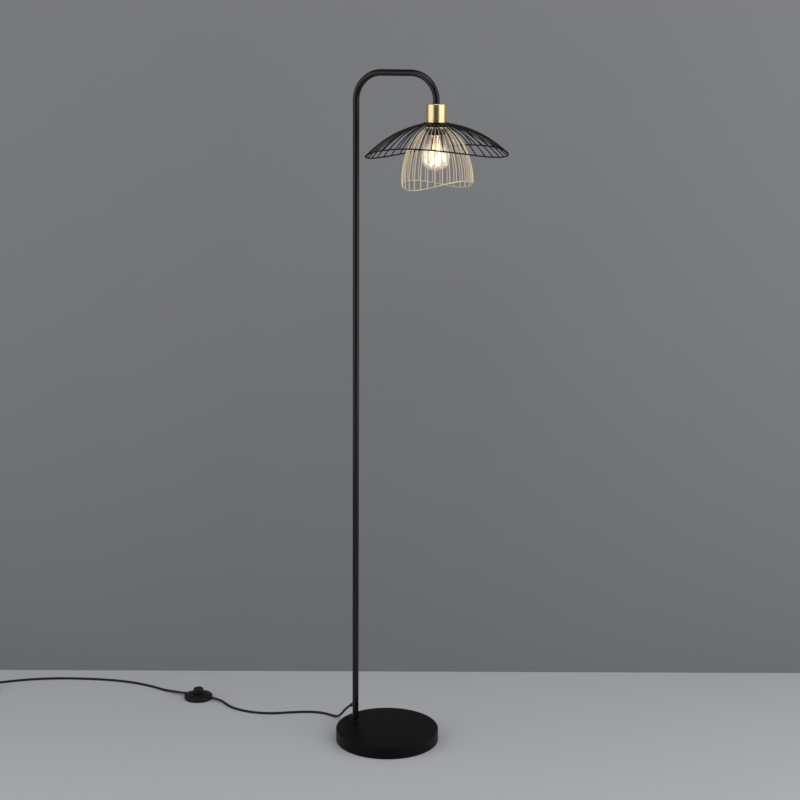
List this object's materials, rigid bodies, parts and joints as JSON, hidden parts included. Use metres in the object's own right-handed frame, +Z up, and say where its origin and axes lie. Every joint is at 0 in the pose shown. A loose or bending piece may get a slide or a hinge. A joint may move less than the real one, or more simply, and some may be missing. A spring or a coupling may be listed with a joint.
{
  "type": "floor lamp",
  "caption": "Floor lamp with a round weighted base, an offset bent pole, a brass cup, a wavy wire shade over a narrow wire cage, and a mains lead with a foot switch.",
  "frame": {"origin": "centre of the base's underside on the floor", "axes": "+Z up, +X from the pole towards the shades along the arm, +Y to the left of +X"},
  "size_m": [1.3368, 0.3887, 1.5],
  "materials": {
    "black_paint": "fine matte powder coat",
    "cast_weight": "raw casting",
    "rubber": "matte",
    "steel": "zinc plated",
    "satin_brass": "satin, lacquered",
    "gold_wire": "satin gold paint",
    "black_plastic": "satin moulded",
    "porcelain": "glazed",
    "cap_metal": "satin rolled thread",
    "clear_glass": "clear rippled",
    "glow": "glowing",
    "lead_sheath": "smooth black flex",
    "core_sheath": "brown and blue core insulation"
  },
  "bodies": {
    "lamp": {"base_cover": "black_paint", "base_weight": "cast_weight", "base_pad": "rubber", "base_screw": "steel", "base_washer": "steel", "lower_tube": "black_paint", "middle_tube_low": "black_paint", "middle_tube_high": "black_paint", "upper_tube": "black_paint", "pole_collar": "black_paint", "tube_bushes": "steel", "threaded_nipples": "steel", "cord_relief": "rubber", "cup": "satin_brass", "holder_cap": "black_plastic", "holder_skirt": "black_plastic", "holder_insert": "porcelain", "holder_shell": "cap_metal", "centre_contact": "satin_brass", "holder_cores": "core_sheath", "shade_ring_upper": "black_plastic", "shade_ring_lower": "black_plastic", "shade_hub": "black_paint", "cage_hub": "gold_wire", "shade_wires": "black_paint", "shade_rim": "black_paint", "cage_wires": "gold_wire", "cage_rim": "gold_wire", "switch_base": "black_plastic", "switch_cover": "black_plastic", "switch_screws": "steel", "switch_block": "black_plastic", "switch_terminals": "satin_brass", "switch_feet": "rubber", "switch_spring": "steel", "inner_lead": "lead_sheath", "cord_lead": "lead_sheath", "cord_run": "lead_sheath", "cord_coil": "lead_sheath", "cord_tail": "lead_sheath", "cord_tie": "black_plastic", "plug_body": "black_plastic", "plug_pins": "satin_brass"},
    "switch_button": {"switch_button": "black_plastic"},
    "bulb": {"bulb_glass": "clear_glass", "bulb_cap": "cap_metal", "bulb_stem": "clear_glass", "bulb_filaments": "glow"}
  },
  "joints": [
    {"name": "switch_press", "type": "slide", "parent": "lamp", "child": "switch_button", "axis": [0, 0, -1], "range_m": [0, 0.004], "stiffness_N_per_m": 600, "springref_m": -0.003, "deforming": ["switch_spring"]},
    {"name": "bulb_out", "type": "slide", "parent": "lamp", "child": "bulb", "axis": [0, 0, -1], "range_m": [0, 0.16]}
  ]
}
